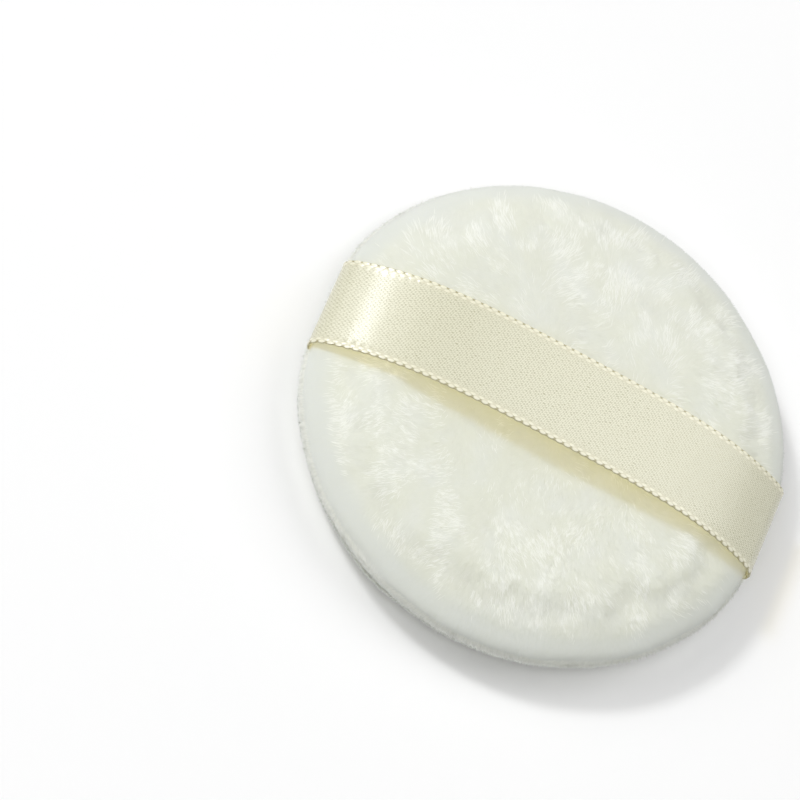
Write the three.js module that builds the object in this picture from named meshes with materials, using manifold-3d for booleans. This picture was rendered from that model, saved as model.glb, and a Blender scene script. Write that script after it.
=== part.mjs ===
// A round velour powder puff with a satin finger ribbon across its front face.
// Millimetres. The puff lies on its back face: +Z points out of the ribbon face,
// +X runs along the ribbon, and the origin is the centre of the flat rest face.

import * as THREE from 'three';
import { mergeVertices } from 'three/addons/utils/BufferGeometryUtils.js';
import Module from 'manifold-3d';

// Pad
const PUFF_DIAMETER = 80;
const PUFF_THICKNESS = 13;
const REST_DIAMETER = 66;
const SEAM_HEIGHT = 6.2;
const CROWN_SQUARENESS = 6;

// Velour covers and their turned-in seam
const COVER_WALL = 1.3;
const FOLD_RADIUS = 0.2;
const SEAM_ALLOWANCE = 4;
const CLEARANCE = 0.3;

// Rim pulled in where the ribbon ends are sewn
const DRAW_IN = 1.2;
const DRAW_IN_SPREAD = 9;
const DRAW_IN_REACH = 14;

// Satin ribbon
const RIBBON_WIDTH = 16;
const RIBBON_THICKNESS = 0.3;
const SELVEDGE_WIDTH = 1;
const SELVEDGE_THICKNESS = 0.45;
const RIBBON_GAP = 4.7;
const LIFT_OFF_ANGLE = 30;
const SPAN_LENGTH = 36;

// Sewing threads
const THREAD_DIAMETER = 0.3;
const STITCH_INSET = 0.6;
const TURNING_GAP_ANGLE = 40;
const CLOSING_OVERLAP_ANGLE = 5;
const LADDER_PITCH = 3;
const LADDER_RISE = 0.2;

// Facets
const RIM_FACETS = 52;
const CROWN_STEPS = 8;
const BACK_RIM_STEPS = 5;
const FOLD_STEPS = 3;
const LINE_STEPS = 6;
const RIBBON_STEP = 0.8;
const SPAN_STEPS = 18;
const THREAD_SIDES = 6;
const THREAD_STEP_ANGLE = 5;
const LADDER_STEPS = 8;

const QUARTER_TURN = Math.PI / 2;
const rimRadius = PUFF_DIAMETER / 2;
const restRadius = REST_DIAMETER / 2;
const foldOuter = FOLD_RADIUS + COVER_WALL;
const foldAxisRadius = rimRadius - foldOuter;
const foldAxisRise = CLEARANCE / 2 + foldOuter;
const frontShoulder = SEAM_HEIGHT + foldAxisRise;
const backShoulder = SEAM_HEIGHT - foldAxisRise;
const allowanceEnd = foldAxisRadius - SEAM_ALLOWANCE;
const ribbonStandOff = CLEARANCE + SELVEDGE_THICKNESS / 2;
const threadRadius = THREAD_DIAMETER / 2;
const turningGapCentre = QUARTER_TURN;

const wasm = await Module();
wasm.setup();

// Radius and height of the front skin, a superellipse, at a depth below the velour's outside.
function frontSkin(angle, depth = 0) {
  const radius = (rimRadius - depth) * Math.abs(Math.cos(angle)) ** (2 / CROWN_SQUARENESS);
  const height = frontShoulder + (PUFF_THICKNESS - frontShoulder - depth) * Math.sin(angle);
  return new THREE.Vector2(radius, height);
}

// The back skin: an elliptical rim that runs down to the flat rest face.
function backSkin(angle, depth = 0) {
  const radius = restRadius + (rimRadius - restRadius - depth) * Math.cos(angle);
  const height = backShoulder - (backShoulder - depth) * Math.sin(angle);
  return new THREE.Vector2(radius, height);
}

// The fold that turns a cover inwards at the seam; side is +1 on the front cover, -1 on the back.
function fold(angle, side, depth = 0) {
  const radius = foldAxisRadius + (foldOuter - depth) * Math.cos(angle);
  const height = SEAM_HEIGHT + side * (foldAxisRise - (foldOuter - depth) * Math.sin(angle));
  return new THREE.Vector2(radius, height);
}

// Points of a curve at equal steps of its parameter, both ends included.
function along(curve, from, to, steps) {
  return Array.from({ length: steps + 1 }, (_, i) => curve(from + ((to - from) * i) / steps));
}

// Radius after the sewn ribbon end has pulled the rim in, at a distance y across the ribbon.
function drawnRadius(radius, y) {
  const share = THREE.MathUtils.smoothstep(radius, rimRadius - DRAW_IN_REACH, rimRadius);
  return radius - DRAW_IN * share * Math.exp(-((y / DRAW_IN_SPREAD) ** 2));
}

function drawIn(point) {
  const radius = Math.hypot(point.x, point.y);
  if (radius === 0) return point;
  const scale = drawnRadius(radius, point.y) / radius;
  point.x *= scale;
  point.y *= scale;
  return point;
}

// A profile turned about Z, with the rim pulled in at the ribbon ends.
function turned(profile) {
  const geometry = new THREE.LatheGeometry(profile, RIM_FACETS);
  geometry.rotateX(QUARTER_TURN);
  const position = geometry.attributes.position;
  const point = new THREE.Vector3();
  for (let i = 0; i < position.count; i += 1) {
    drawIn(point.fromBufferAttribute(position, i));
    position.setXYZ(i, point.x, point.y, point.z);
  }
  return geometry;
}

function toSolid(geometry) {
  const bare = geometry.clone();
  bare.deleteAttribute('normal');
  bare.deleteAttribute('uv');
  const merged = mergeVertices(bare);
  const corners = merged.index.array;
  const triangles = [];
  for (let i = 0; i < corners.length; i += 3) {
    const [a, b, c] = corners.slice(i, i + 3);
    if (a !== b && b !== c && c !== a) triangles.push(a, b, c);
  }
  return new wasm.Manifold(new wasm.Mesh({
    numProp: 3,
    vertProperties: merged.attributes.position.array,
    triVerts: Uint32Array.from(triangles),
  }));
}

function toGeometry(solid) {
  const mesh = solid.getMesh();
  const geometry = new THREE.BufferGeometry();
  geometry.setAttribute('position', new THREE.BufferAttribute(mesh.vertProperties, 3));
  geometry.setIndex(new THREE.BufferAttribute(mesh.triVerts, 1));
  geometry.computeVertexNormals();
  return geometry;
}

// Front cover: crowned velour shell whose edge folds in to the seam allowance.
function frontCover() {
  const inside = along((a) => frontSkin(a, COVER_WALL), QUARTER_TURN, 0, CROWN_STEPS);
  const insideFold = along((a) => fold(a, 1, COVER_WALL), 0, QUARTER_TURN, FOLD_STEPS);
  const outsideFold = along((a) => fold(a, 1), QUARTER_TURN, 0, FOLD_STEPS);
  const outside = along((a) => frontSkin(a), 0, QUARTER_TURN, CROWN_STEPS);
  return turned([
    ...inside,
    ...insideFold.slice(1),
    new THREE.Vector2(allowanceEnd, fold(QUARTER_TURN, 1, COVER_WALL).y),
    new THREE.Vector2(allowanceEnd, fold(QUARTER_TURN, 1).y),
    ...outsideFold,
    ...outside.slice(1),
  ]);
}

// Back cover: the same cloth, flat where the puff rests, with a pocket for each ribbon tail.
function backCover() {
  const outside = along((a) => backSkin(a), QUARTER_TURN, 0, BACK_RIM_STEPS);
  const outsideFold = along((a) => fold(a, -1), 0, QUARTER_TURN, FOLD_STEPS);
  const insideFold = along((a) => fold(a, -1, COVER_WALL), QUARTER_TURN, 0, FOLD_STEPS);
  const inside = along((a) => backSkin(a, COVER_WALL), 0, QUARTER_TURN, BACK_RIM_STEPS);
  const shell = turned([
    new THREE.Vector2(0, 0),
    ...outside,
    ...outsideFold.slice(1),
    new THREE.Vector2(allowanceEnd, fold(QUARTER_TURN, -1).y),
    new THREE.Vector2(allowanceEnd, fold(QUARTER_TURN, -1, COVER_WALL).y),
    ...insideFold,
    ...inside.slice(1),
    new THREE.Vector2(0, COVER_WALL),
  ]);
  const cut = toSolid(shell).subtract(toSolid(tailPocket(-1))).subtract(toSolid(tailPocket(1)));
  return toGeometry(cut);
}

// Sponge core: a disc that fills the covers, with its edge hollowed round the seam and its threads.
function spongeCore() {
  const depth = COVER_WALL + CLEARANCE;
  const seamReach = CLEARANCE / 2 + COVER_WALL + THREAD_DIAMETER + 2 * CLEARANCE;
  const back = along((a) => backSkin(a, depth), QUARTER_TURN, 0, BACK_RIM_STEPS)
    .filter((p) => p.y < SEAM_HEIGHT - seamReach - CLEARANCE);
  const front = along((a) => frontSkin(a, depth), 0, QUARTER_TURN, CROWN_STEPS)
    .filter((p) => p.y > SEAM_HEIGHT + seamReach + CLEARANCE);
  const grooveRadius = allowanceEnd - CLEARANCE;
  return turned([
    new THREE.Vector2(0, depth),
    ...back,
    new THREE.Vector2(back.at(-1).x, SEAM_HEIGHT - seamReach),
    new THREE.Vector2(grooveRadius, SEAM_HEIGHT - seamReach),
    new THREE.Vector2(grooveRadius, SEAM_HEIGHT + seamReach),
    new THREE.Vector2(front[0].x, SEAM_HEIGHT + seamReach),
    ...front,
  ]);
}

// Where the ribbon's middle line leaves the shoulder: its place and its slope there.
function liftOff() {
  const angle = THREE.MathUtils.degToRad(LIFT_OFF_ANGLE);
  const step = THREE.MathUtils.degToRad(0.5);
  const [before, at, after] = [angle - step, angle, angle + step].map(shoulderLine);
  return { x: at.x, z: at.z, slope: (after.z - before.z) / (before.x - after.x) };
}

// The ribbon's middle line where it lies on the pad, at y = 0 on the +X side.
function shoulderLine(angle) {
  const skin = frontSkin(angle, -ribbonStandOff);
  return new THREE.Vector3(drawnRadius(skin.x, 0), 0, skin.y);
}

function foldLine(angle) {
  const skin = fold(angle, 1, -ribbonStandOff);
  return new THREE.Vector3(drawnRadius(skin.x, 0), 0, skin.y);
}

// The free span: an even quartic arch that meets the shoulder with its slope.
function spanHeight(x) {
  const edge = liftOff();
  const middle = PUFF_THICKNESS + RIBBON_GAP + RIBBON_THICKNESS / 2;
  const drop = middle - edge.z;
  const fourth = (edge.slope * edge.x - 2 * drop) / 2;
  const square = drop - fourth;
  const share = x / edge.x;
  return middle - square * share ** 2 - fourth * share ** 4;
}

function spanPoint(x) {
  return new THREE.Vector3(x, 0, spanHeight(x));
}

// Middle line of the ribbon end on the +X side, from the free span to its tail in the seam.
function endLine(tailExtra = 0) {
  const lift = THREE.MathUtils.degToRad(LIFT_OFF_ANGLE);
  const spanEnd = SPAN_LENGTH / 2 + CLEARANCE;
  const arch = along(spanPoint, spanEnd, liftOff().x, LINE_STEPS);
  const shoulder = along(shoulderLine, lift, 0, LINE_STEPS);
  const turn = along(foldLine, 0, QUARTER_TURN, LINE_STEPS);
  const tailEnd = drawnRadius(allowanceEnd, 0) + CLEARANCE - tailExtra;
  const tail = new THREE.Vector3(tailEnd, 0, turn.at(-1).z);
  return [...arch, ...shoulder.slice(1), ...turn.slice(1), tail];
}

// A flat section swept along points in the XZ plane; the section's x runs across the ribbon.
function swept(section, points, steps) {
  const path = new THREE.CatmullRomCurve3(points, false, 'centripetal');
  const count = steps ?? Math.ceil(path.getLength() / RIBBON_STEP);
  return new THREE.ExtrudeGeometry(new THREE.Shape(section), { steps: count, extrudePath: path });
}

// Ribbon section: thin satin between two thicker woven selvedges.
function ribbonSection() {
  const edge = RIBBON_WIDTH / 2;
  const inner = edge - SELVEDGE_WIDTH;
  const thick = SELVEDGE_THICKNESS / 2;
  const thin = RIBBON_THICKNESS / 2;
  return [
    [-edge, -thick], [-inner, -thin], [inner, -thin], [edge, -thick],
    [edge, thick], [inner, thin], [-inner, thin], [-edge, thick],
  ].map(([x, y]) => new THREE.Vector2(x, y));
}

function ribbonSpan() {
  const half = SPAN_LENGTH / 2;
  return swept(ribbonSection(), along(spanPoint, -half, half, SPAN_STEPS), SPAN_STEPS);
}

function mirrored(points, side) {
  return points.map((p) => new THREE.Vector3(side * p.x, p.y, p.z));
}

function ribbonEnd(side) {
  return swept(ribbonSection(), mirrored(endLine(), side));
}

// The room that a ribbon tail takes in the seam: a clearance larger all round, and open inwards.
function tailPocket(side) {
  const across = RIBBON_WIDTH / 2 + CLEARANCE;
  const half = ribbonStandOff;
  const section = [[-across, -half], [across, -half], [across, half], [-across, half]];
  const outline = section.map(([x, y]) => new THREE.Vector2(x, y));
  return swept(outline, mirrored(endLine(SEAM_ALLOWANCE / 2), side));
}

function threadTube(points, steps) {
  const section = along(
    (a) => new THREE.Vector2(threadRadius * Math.cos(a), threadRadius * Math.sin(a)),
    0,
    2 * Math.PI * (1 - 1 / THREAD_SIDES),
    THREAD_SIDES - 1,
  );
  return swept(section, points, steps);
}

// Seam thread: runs round the seam allowance of one cover and leaves the turning gap open.
function seamThread(side) {
  const radius = foldAxisRadius - STITCH_INSET;
  const height = SEAM_HEIGHT + side * (CLEARANCE * 1.5 + COVER_WALL + threadRadius);
  const halfGap = THREE.MathUtils.degToRad(TURNING_GAP_ANGLE / 2);
  const steps = Math.round((360 - TURNING_GAP_ANGLE) / THREAD_STEP_ANGLE);
  const points = along(
    (a) => drawIn(new THREE.Vector3(radius * Math.cos(a), radius * Math.sin(a), height)),
    turningGapCentre + halfGap,
    turningGapCentre - halfGap + 2 * Math.PI,
    steps,
  );
  return threadTube(points, steps);
}

// Closing thread: a hand ladder stitch that lies in the groove between the covers' folds.
function closingThread() {
  const toFold = foldOuter + CLEARANCE + threadRadius;
  const radius = foldAxisRadius + Math.sqrt(toFold ** 2 - (foldAxisRise - LADDER_RISE) ** 2);
  const halfArc = THREE.MathUtils.degToRad(TURNING_GAP_ANGLE / 2 + CLOSING_OVERLAP_ANGLE);
  const rungs = Math.round((2 * halfArc * radius) / LADDER_PITCH);
  const steps = rungs * LADDER_STEPS;
  const points = along(
    (a) => {
      const phase = (2 * Math.PI * rungs * (a - turningGapCentre)) / (2 * halfArc);
      const height = SEAM_HEIGHT + LADDER_RISE * Math.sin(phase);
      return new THREE.Vector3(radius * Math.cos(a), radius * Math.sin(a), height);
    },
    turningGapCentre - halfArc,
    turningGapCentre + halfArc,
    steps,
  );
  return threadTube(points, steps);
}

function cloth(color, roughness) {
  return new THREE.MeshStandardMaterial({ color, roughness, metalness: 0 });
}

const puff = new THREE.Group();

function addPiece(name, geometry, material) {
  const mesh = new THREE.Mesh(geometry, material);
  mesh.name = name;
  puff.add(mesh);
}

const VELOUR_COLOUR = 0xecede2;
const SPONGE_COLOUR = 0xf3ecd6;
const SATIN_COLOUR = 0xe1dbb9;
const THREAD_COLOUR = 0xf4f2e8;

addPiece('front_cover', frontCover(), cloth(VELOUR_COLOUR, 0.95));
addPiece('back_cover', backCover(), cloth(VELOUR_COLOUR, 0.95));
addPiece('sponge_core', spongeCore(), cloth(SPONGE_COLOUR, 1));
addPiece('ribbon_span', ribbonSpan(), cloth(SATIN_COLOUR, 0.4));
addPiece('ribbon_left_end', ribbonEnd(-1), cloth(SATIN_COLOUR, 0.4));
addPiece('ribbon_right_end', ribbonEnd(1), cloth(SATIN_COLOUR, 0.4));
addPiece('needle_thread', seamThread(1), cloth(THREAD_COLOUR, 0.6));
addPiece('bobbin_thread', seamThread(-1), cloth(THREAD_COLOUR, 0.6));
addPiece('closing_thread', closingThread(), cloth(THREAD_COLOUR, 0.6));

export default puff;
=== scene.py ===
"""A round velour powder puff with a satin finger ribbon, dressed for rendering.

Shapes are worked out in millimetres in the frame of the CAD part: the puff lies on its back,
+Z points out of the ribbon face and +X runs along the ribbon. Meshes are written in metres.
"""

import bpy
import numpy as np
from mathutils import Matrix


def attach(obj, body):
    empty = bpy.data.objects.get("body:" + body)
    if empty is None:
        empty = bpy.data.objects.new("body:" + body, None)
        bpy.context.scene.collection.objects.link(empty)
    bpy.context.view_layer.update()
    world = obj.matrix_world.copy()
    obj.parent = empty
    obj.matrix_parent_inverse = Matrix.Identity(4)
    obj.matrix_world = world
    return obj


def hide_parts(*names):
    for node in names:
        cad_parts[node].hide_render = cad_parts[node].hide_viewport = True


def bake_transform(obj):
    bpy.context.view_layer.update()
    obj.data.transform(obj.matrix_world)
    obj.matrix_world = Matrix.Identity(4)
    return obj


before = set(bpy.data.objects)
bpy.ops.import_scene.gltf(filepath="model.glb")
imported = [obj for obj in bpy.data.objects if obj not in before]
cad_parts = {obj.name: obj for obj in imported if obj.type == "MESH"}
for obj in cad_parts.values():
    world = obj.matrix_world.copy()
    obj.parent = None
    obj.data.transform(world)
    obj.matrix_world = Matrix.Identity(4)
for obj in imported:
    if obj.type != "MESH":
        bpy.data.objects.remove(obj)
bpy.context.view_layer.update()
scene = bpy.context.scene

MM = 0.001
SEED = 20
FRONT = 1
BACK = -1
OTHER_WAY = [0, 3, 2, 1]

# Pad, as in the CAD part
RIM_RADIUS = 40.0
THICKNESS = 13.0
REST_RADIUS = 33.0
SEAM_HEIGHT = 6.2
CROWN_SQUARENESS = 6.0
COVER_WALL = 1.3
FOLD_RADIUS = 0.2
SEAM_ALLOWANCE = 4.0
CLEARANCE = 0.3
DRAW_IN = 1.2
DRAW_IN_SPREAD = 9.0
DRAW_IN_REACH = 14.0
FOLD_OUTER = FOLD_RADIUS + COVER_WALL
FOLD_AXIS_RADIUS = RIM_RADIUS - FOLD_OUTER
FOLD_AXIS_RISE = CLEARANCE / 2 + FOLD_OUTER
FRONT_SHOULDER = SEAM_HEIGHT + FOLD_AXIS_RISE
BACK_SHOULDER = SEAM_HEIGHT - FOLD_AXIS_RISE
ALLOWANCE_END = FOLD_AXIS_RADIUS - SEAM_ALLOWANCE

# Ribbon, as in the CAD part
RIBBON_WIDTH = 16.0
RIBBON_THICKNESS = 0.3
SELVEDGE_WIDTH = 1.0
SELVEDGE_THICKNESS = 0.45
RIBBON_GAP = 4.7
LIFT_OFF = np.radians(30.0)
RIBBON_STAND_OFF = CLEARANCE + SELVEDGE_THICKNESS / 2

# Threads, as in the CAD part
THREAD_RADIUS = 0.15
STITCH_INSET = 0.6
TURNING_GAP = np.radians(40.0)
CLOSING_OVERLAP = np.radians(5.0)
LADDER_RISE = 0.2
LADDER_PITCH = 3.0

# Twist of the threads
THREAD_LAY = 0.9
THREAD_SIDES = 6

# Points along the lines, and rows and columns of the grids
QUARTER = np.linspace(0.0, np.pi / 2, 400)
ALLOWANCE_POINTS = 20
REST_POINTS = 60
ARCH_POINTS = 200
SHOULDER_POINTS = 120
FOLD_POINTS = 80
SEAM_POINTS = 1500
CLOSING_POINTS = 600
COVER_ROWS = 150
COVER_COLUMNS = 300
SPONGE_QUARTER = 60
SPONGE_ROWS = 110
SPONGE_COLUMNS = 160
RIBBON_ROWS = 900
SATIN_COLUMNS = 15
SELVEDGE_COLUMNS = 11

# Selvedge: a web with rows of loops, given as distance from the edge, shift and half length in pitches
BEAD_PITCH = 1.45
BEAD_ROWS = ((0.28, 0.0, 0.40), (0.72, 0.5, 0.36))
BEAD_HALF_WIDTH = 0.28
BEAD_HEIGHT = 0.05
# Contrast of the selvedge loops against the painted shade in the gaps between them
BEAD_CONTRAST = 1.6
WEB_GROWTH = 0.3
# How light the painted shade in the gaps stays inwards, and the band at the outer edge where it deepens
GAP_SHADE_LIFT = 0.65
GAP_SHADE_BAND = (0.6, 0.4)
EDGE_HALF = 0.03
SCALLOP_DEPTH = 0.05
SCALLOP_REACH = 0.5
SELVEDGE_BLEND = (-0.1, 0.15)

# Weave of the satin
YARN_PITCH = 0.25
YARN_POWER = 2.0
FLOAT_LENGTH = 0.9
FLOAT_SHIFT = 0.4
FLOAT_POWER = 5.0
FLOAT_WANDER = 1.2

# Pile pieces: name, side, number of pieces, width of a fibre and first seed
FIBRES = 98000
PILE = (("front_pile", FRONT, 6, 0.11, SEED + 100), ("back_pile", BACK, 1, 0.2, SEED + 300))

# Roots of the pile
ROOT_DEPTH = {FRONT: 0.8, BACK: 0.35}
RIM_ROOT_DEPTH = 0.1
RIM_DEPTH_BAND = 6.0
SEAM_DEPTH_BAND = 0.5
PILE_FOLD = 0.25
ROOT_END = 0.1
ROOT_JITTER = 0.6
JITTER_RADIUS = 0.5

# Bands of the nap: where they begin and are full, before the seam
SEAM_BAND = (1.4, 0.5)
# A band just inside the seam is painted lighter: painted light on the rim's edge
EDGE_LIGHT_BAND = (4.0, 1.2)
# Round the rim the nap lies flat, and its colour turns a cooler grey: painted shade
RIM_BAND = (9.0, 4.5)

# Reaches on the face: where they begin and are full, from the centre
COMB_REACH = (6.0, 27.0)
PROUD_REACH = (8.0, 24.0)
CLUSTER_REACH = (12.0, 28.0)
CENTRE_SHARE = 0.3

# Nap pressed flat under the ribbon's shoulders and at the back
PRESSED_ALONG = (30.5, 33.5)
PRESSED_ACROSS = (8.0, 9.2)
BACK_FLATNESS = 0.9

# Tufts, locks and slow waves
TUFT_SPACING = 2.3
TUFT_BLEND = 0.45
LOCK_SPACING = 0.34
CELL_MARGIN = 0.1
CELL_JITTER = 0.8
SEAM_TUFTS = 219
PROUD_RANK = (0.6, 0.95)
STRAY_SHARE = 0.06
CLUSTER_LEVEL = (-0.2, 1.4)
WAVE_COUNT = 9
WAVE_SPREAD = (0.75, 1.6)
DRIFT_WAVE = 17.0
SWELL_WAVE = 5.0
CLUSTER_WAVE = 7.0

# Turn of a fibre from straight outwards, in radians
DRIFT_TURN = 1.1
DRIFT_LOSS = 0.6
TUFT_TURN = 0.4
LOCK_TURN = 0.6
FIBRE_TURN = 0.1

# Lean of a fibre in degrees: means with spreads, limits and shifts
FACE_TILT = (69.0, 2.0)
FLAT_TILT = (78.0, 4.0)
STRAY_TILT = (56.0, 6.0)
SEAM_TILT = (62.0, 14.0)
TILT_LIMITS = (15.0, 85.0)
TUFT_TILT = 3.0
LOCK_TILT = 6.0
PROUD_TILT = 5.0

# Length, width and bend of a fibre
FACE_FIBRE = 2.0
RIM_FIBRE = 1.5
SEAM_FIBRE = 1.25
SHORTEST = 0.95
TUFT_GROWTH = 0.1
PROUD_GROWTH = 0.12
STRAY_GROWTH = 1.15
LENGTH_SPREAD = (0.9, 1.06)
STRAY_WIDTH = 1.2
WIDTH_SPREAD = (0.8, 1.2)
TUFT_GATHER = 0.05
PROUD_GATHER = 0.1
LOCK_CLING = 0.4
BEND_RISE = 0.62
BEND_REACH = 0.40
BLADE_ROLL = 0.3
BLADE_HEIGHTS = (0.0, 0.5, 0.5, 1.0)

# Tone of a fibre, from dull to bright, and shares of its shading normal
BASE_TONE = 0.35
# Painted glint and painted light: proud tufts, the band just inside the seam and dots along the seam
# are painted lighter
PROUD_GLINT = 0.3
EDGE_LIGHT = 0.58
SEAM_GLINT = 0.3
STRAND_TONE = 0.5
STRAND_LOSS = 0.6
TONE_SPREAD = 0.05
GLINT = 0.22
GLINT_LOSS = 0.7
GROUND_NORMAL = 0.93
OWN_NORMAL = 0.07

# Filling of the covers, solved as cloth at a larger, steadier scale
CLOTH_SCALE = 20.0
CLOTH_ROWS = 60
CLOTH_COLUMNS = 120
CLOTH_FRAMES = 20
CLOTH_PRESSURE = 4.0
CLOTH_START = 0.5
CLOTH_REACH = 0.5
CLOTH_LUMP = 0.15
CLOTH_LUMP_WAVE = 13.0
CLOTH_HELD = 1.0
CLOTH_BACK_GROWTH = 6.0

# Colours, as display values from 0 to 255; a pair goes from low to high
# Root end warmer than the tips: a painted tint of shade in the pile's hollows
NAP_ROOT_SHADE = (223, 224, 213)
NAP_TONES = ((214, 216, 206), (233, 234, 228))
# Cooler grey of the laid rim nap: painted shade of the rim
NAP_RIM_SHADE = (216, 219, 217)
# Near white of the brightest fibres: painted glint
NAP_GLINT = (242, 243, 239)
NAP_TINT = (253, 253, 250)
MOTTLE_TONES = ((222, 223, 212), (225, 227, 226))
GROUND_IVORY = (232, 231, 218)
# Satin dips darker and float tops lighter: painted shade and painted sheen of the weave
SATIN_SHADE_AND_SHEEN = ((174, 170, 134), (238, 237, 216))
SATIN_BROAD = (215, 212, 187)
SATIN_TINT = (250, 244, 218)
# Selvedge gaps darker than the loops: painted shade
LOOP_AND_GAP_SHADE = ((172, 165, 127), (236, 233, 209))
FOAM_TONES = ((214, 204, 176), (244, 238, 222))
THREAD_TONES = ((226, 223, 208), (246, 245, 236))

# Stage
FLOOR_REACH = 4000.0
FLOOR_TONE = 0.97
FLOOR_FADE = (250.0, 600.0)
SKY_LEVEL = 0.16
SEEN_RAYS = ("Is Camera Ray", "Is Glossy Ray")

# Lamps: name, place, size and power in watts
LAMPS = (
    ("key_lamp", (-1500.0, 490.0, 1580.0), 340.0, 16.5),
    ("soft_lamp", (-1500.0, 490.0, 1580.0), 1500.0, 12.5),
    ("top_lamp", (850.0, 700.0, 1470.0), 1500.0, 12.0),
    ("fill_lamp", (-220.0, -800.0, 1490.0), 900.0, 8.0),
)

# Camera, fitted to the outline and the ribbon in the photograph
CAMERA_AIM = np.array([-22.42, -8.32, 6.5])
CAMERA_DISTANCE = 1040.9
CAMERA_ELEVATION = np.radians(60.99)
CAMERA_AZIMUTH = np.radians(-105.34)
CAMERA_ROLL = np.radians(41.39)
CAMERA_LENS = 300.0


def smooth(value, low, high):
    """The cubic step: 0 below low, 1 above high, 3t^2 - 2t^3 between them."""
    t = np.clip((value - low) / (high - low), 0.0, 1.0)
    return t * t * (3.0 - 2.0 * t)


def unit(vectors):
    """Each vector divided by its length."""
    return vectors / np.maximum(np.linalg.norm(vectors, axis=-1, keepdims=True), 1e-12)


def round_angles(count):
    """Equal angles that go once round."""
    return np.arange(count) * 2.0 * np.pi / count


def drawn_radius(radius, y):
    """The radius less the pull of the sewn ribbon: a cubic step outwards times a bell across y."""
    share = smooth(radius, RIM_RADIUS - DRAW_IN_REACH, RIM_RADIUS)
    return radius - DRAW_IN * share * np.exp(-((y / DRAW_IN_SPREAD) ** 2))


def front_skin(angle, depth=0.0):
    """Superellipse of the front: radius times cos^(2/n), height times sin, at a depth below it."""
    radius = (RIM_RADIUS - depth) * np.abs(np.cos(angle)) ** (2.0 / CROWN_SQUARENESS)
    height = FRONT_SHOULDER + (THICKNESS - FRONT_SHOULDER - depth) * np.sin(angle)
    return radius, height


def back_skin(angle, depth=0.0):
    """Quarter ellipse of the back rim, from the shoulder in to the flat rest face."""
    radius = REST_RADIUS + (RIM_RADIUS - REST_RADIUS - depth) * np.cos(angle)
    height = BACK_SHOULDER - (BACK_SHOULDER - depth) * np.sin(angle)
    return radius, height


def fold(angle, side, depth):
    """Quarter circle that turns a cover in at the seam."""
    radius = FOLD_AXIS_RADIUS + (FOLD_OUTER - depth) * np.cos(angle)
    height = SEAM_HEIGHT + side * (FOLD_AXIS_RISE - (FOLD_OUTER - depth) * np.sin(angle))
    return radius, height


def joined(*runs):
    """Runs of (radius, height) laid end to end as one array of points."""
    return np.concatenate([np.stack(np.broadcast_arrays(*run), -1) for run in runs])


def respaced(points, count):
    """The polyline's points at equal steps of arc length, with their arc lengths."""
    steps = np.linalg.norm(np.diff(points, axis=0), axis=1)
    points = points[np.r_[True, steps > 1e-9]]
    arc = np.r_[0.0, np.cumsum(np.linalg.norm(np.diff(points, axis=0), axis=1))]
    at = np.linspace(0.0, arc[-1], count)
    return np.stack([np.interp(at, arc, column) for column in points.T], -1), at


def cover_outside(side):
    """Outer line of a cover from its centre to the seam allowance, as (radius, height).

    At the seam it turns in on a small quarter circle, because the pile fills the fold.
    """
    plane = SEAM_HEIGHT + side * CLEARANCE / 2
    turn = (RIM_RADIUS - PILE_FOLD + PILE_FOLD * np.cos(QUARTER),
            plane + side * PILE_FOLD * (1.0 - np.sin(QUARTER)))
    allowance = np.linspace(RIM_RADIUS - PILE_FOLD, ALLOWANCE_END, ALLOWANCE_POINTS), plane
    if side == FRONT:
        return joined(front_skin(QUARTER[::-1]), turn, allowance)
    flat = np.linspace(0.0, REST_RADIUS, REST_POINTS), 0.0
    return joined(flat, back_skin(QUARTER[::-1]), turn, allowance)


def cover_inside(side):
    """Inner line of a cover from the seam allowance back to its centre, one wall deeper."""
    turn = fold(QUARTER[::-1], side, COVER_WALL)
    allowance = np.linspace(ALLOWANCE_END, FOLD_AXIS_RADIUS, ALLOWANCE_POINTS), turn[1][0]
    if side == FRONT:
        return joined(allowance, turn, front_skin(QUARTER, COVER_WALL))
    flat = np.linspace(REST_RADIUS, 0.0, REST_POINTS), COVER_WALL
    return joined(allowance, turn, back_skin(QUARTER, COVER_WALL), flat)


def turned_grid(line, angles):
    """A line of (radius, height) carried round Z, with the rim drawn in at the ribbon ends."""
    radius = line[:, :1] + 0.0 * angles
    drawn = drawn_radius(radius, radius * np.sin(angles))
    height = np.broadcast_to(line[:, 1:], radius.shape)
    return np.stack([drawn * np.cos(angles), drawn * np.sin(angles), height], -1)


def grid_normals(grid):
    """Unit cross product of the two directions of a grid whose columns close on themselves."""
    along = np.gradient(grid, axis=0)
    wrapped = np.concatenate([grid[:, -1:], grid, grid[:, :1]], axis=1)
    around = (wrapped[:, 2:] - wrapped[:, :-2]) / 2
    return unit(np.cross(along, around))


def read_grid(grid, row, angle):
    """Values of a closed grid between its points, by linear mixing, to a hair before its last row."""
    rows, columns = grid.shape[:2]
    row = np.clip(row, 0.0, rows - 1.001)
    column = np.mod(angle / (2.0 * np.pi), 1.0) * columns
    r0, c0 = row.astype(int), column.astype(int) % columns
    fr, fc = (row - r0)[:, None], (column - np.floor(column))[:, None]
    c1 = (c0 + 1) % columns
    low = grid[r0, c0] * (1 - fc) + grid[r0, c1] * fc
    high = grid[r0 + 1, c0] * (1 - fc) + grid[r0 + 1, c1] * fc
    return low * (1 - fr) + high * fr


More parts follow.
